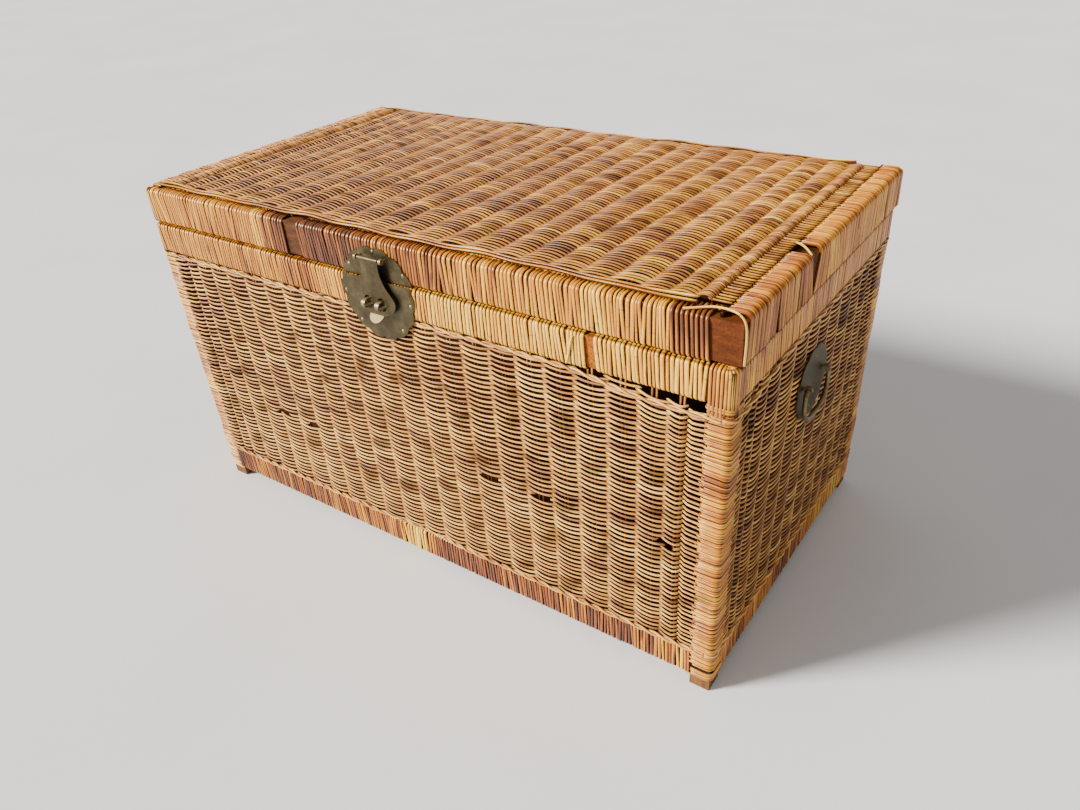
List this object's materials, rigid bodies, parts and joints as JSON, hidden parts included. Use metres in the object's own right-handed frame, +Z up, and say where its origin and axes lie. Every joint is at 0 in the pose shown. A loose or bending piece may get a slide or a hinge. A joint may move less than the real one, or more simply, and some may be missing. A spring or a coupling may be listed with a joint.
{
  "type": "wicker storage trunk",
  "caption": "Rectangular wicker storage trunk on stub feet, with a hinged woven lid, cane-wrapped rails, a scalloped brass hasp latch and brass drop handles on the ends.",
  "frame": {"origin": "on the floor under the middle of the trunk", "axes": "+X along the front towards the right-hand end, +Y from the front to the back, +Z up"},
  "size_m": [0.912, 0.5118, 0.495],
  "materials": {
    "woven_wicker": "honey-coloured woven reed, dry satin",
    "wrapped_cane": "golden-brown split cane with a worn varnish",
    "bare_timber": "bare brown timber, dry and worn",
    "plywood": "thin unfinished board",
    "antique_brass": "antique brass, dull and tarnished with bright edges"
  },
  "bodies": {
    "trunk": {"corner_post_front_left": "bare_timber", "corner_wrap_front_left": "woven_wicker", "corner_post_front_right": "bare_timber", "corner_wrap_front_right": "woven_wicker", "corner_post_back_left": "bare_timber", "corner_wrap_back_left": "woven_wicker", "corner_post_back_right": "bare_timber", "corner_wrap_back_right": "woven_wicker", "rim_rail_front": "bare_timber", "rim_wrap_front": "wrapped_cane", "base_rail_front": "bare_timber", "base_wrap_front": "wrapped_cane", "woven_panel_front": "woven_wicker", "rim_rail_back": "bare_timber", "rim_wrap_back": "wrapped_cane", "base_rail_back": "bare_timber", "base_wrap_back": "wrapped_cane", "woven_panel_back": "woven_wicker", "rim_rail_left": "bare_timber", "rim_wrap_left": "wrapped_cane", "base_rail_left": "bare_timber", "base_wrap_left": "wrapped_cane", "woven_panel_left": "woven_wicker", "rim_rail_right": "bare_timber", "rim_wrap_right": "wrapped_cane", "base_rail_right": "bare_timber", "base_wrap_right": "wrapped_cane", "woven_panel_right": "woven_wicker", "bottom_battens": "bare_timber", "bottom_board": "plywood", "latch_lower_plate": "antique_brass", "latch_lower_nails": "antique_brass", "latch_staples": "antique_brass", "handle_left_plate": "antique_brass", "handle_right_plate": "antique_brass", "handle_nails": "antique_brass", "handle_eyelets": "antique_brass", "hinge_pins": "antique_brass", "hinge_screws_body": "antique_brass", "hinge_left_body_leaf": "antique_brass", "hinge_right_body_leaf": "antique_brass"},
    "lid": {"lid_rail_front": "bare_timber", "lid_wrap_front": "wrapped_cane", "lid_rail_back": "bare_timber", "lid_wrap_back": "wrapped_cane", "lid_rail_left": "bare_timber", "lid_wrap_left": "wrapped_cane", "lid_rail_right": "bare_timber", "lid_wrap_right": "wrapped_cane", "lid_woven_panel": "woven_wicker", "latch_upper_plate": "antique_brass", "latch_upper_nails": "antique_brass", "latch_pin": "antique_brass", "latch_pin_eyelets": "antique_brass", "hinge_screws_lid": "antique_brass", "hinge_left_lid_leaf": "antique_brass", "hinge_right_lid_leaf": "antique_brass"},
    "hasp": {"hasp": "antique_brass"},
    "left_bail": {"handle_left_bail": "antique_brass"},
    "right_bail": {"handle_right_bail": "antique_brass"}
  },
  "joints": [
    {"name": "lid_hinge", "type": "hinge", "parent": "trunk", "child": "lid", "pos_m": [0, 0.2478, 0.43925], "axis": [-1, 0, 0], "range_deg": [0, 105]},
    {"name": "hasp_hinge", "type": "hinge", "parent": "lid", "child": "hasp", "pos_m": [-0.005, -0.2502, 0.467], "axis": [-1, 0, 0], "range_deg": [-2.5, 150]},
    {"name": "left_bail_hinge", "type": "hinge", "parent": "trunk", "child": "left_bail", "pos_m": [-0.45119, -0.015, 0.31686], "axis": [0, 1, 0], "range_deg": [-5, 180]},
    {"name": "right_bail_hinge", "type": "hinge", "parent": "trunk", "child": "right_bail", "pos_m": [0.45119, -0.015, 0.31686], "axis": [0, -1, 0], "range_deg": [-5, 180]}
  ]
}
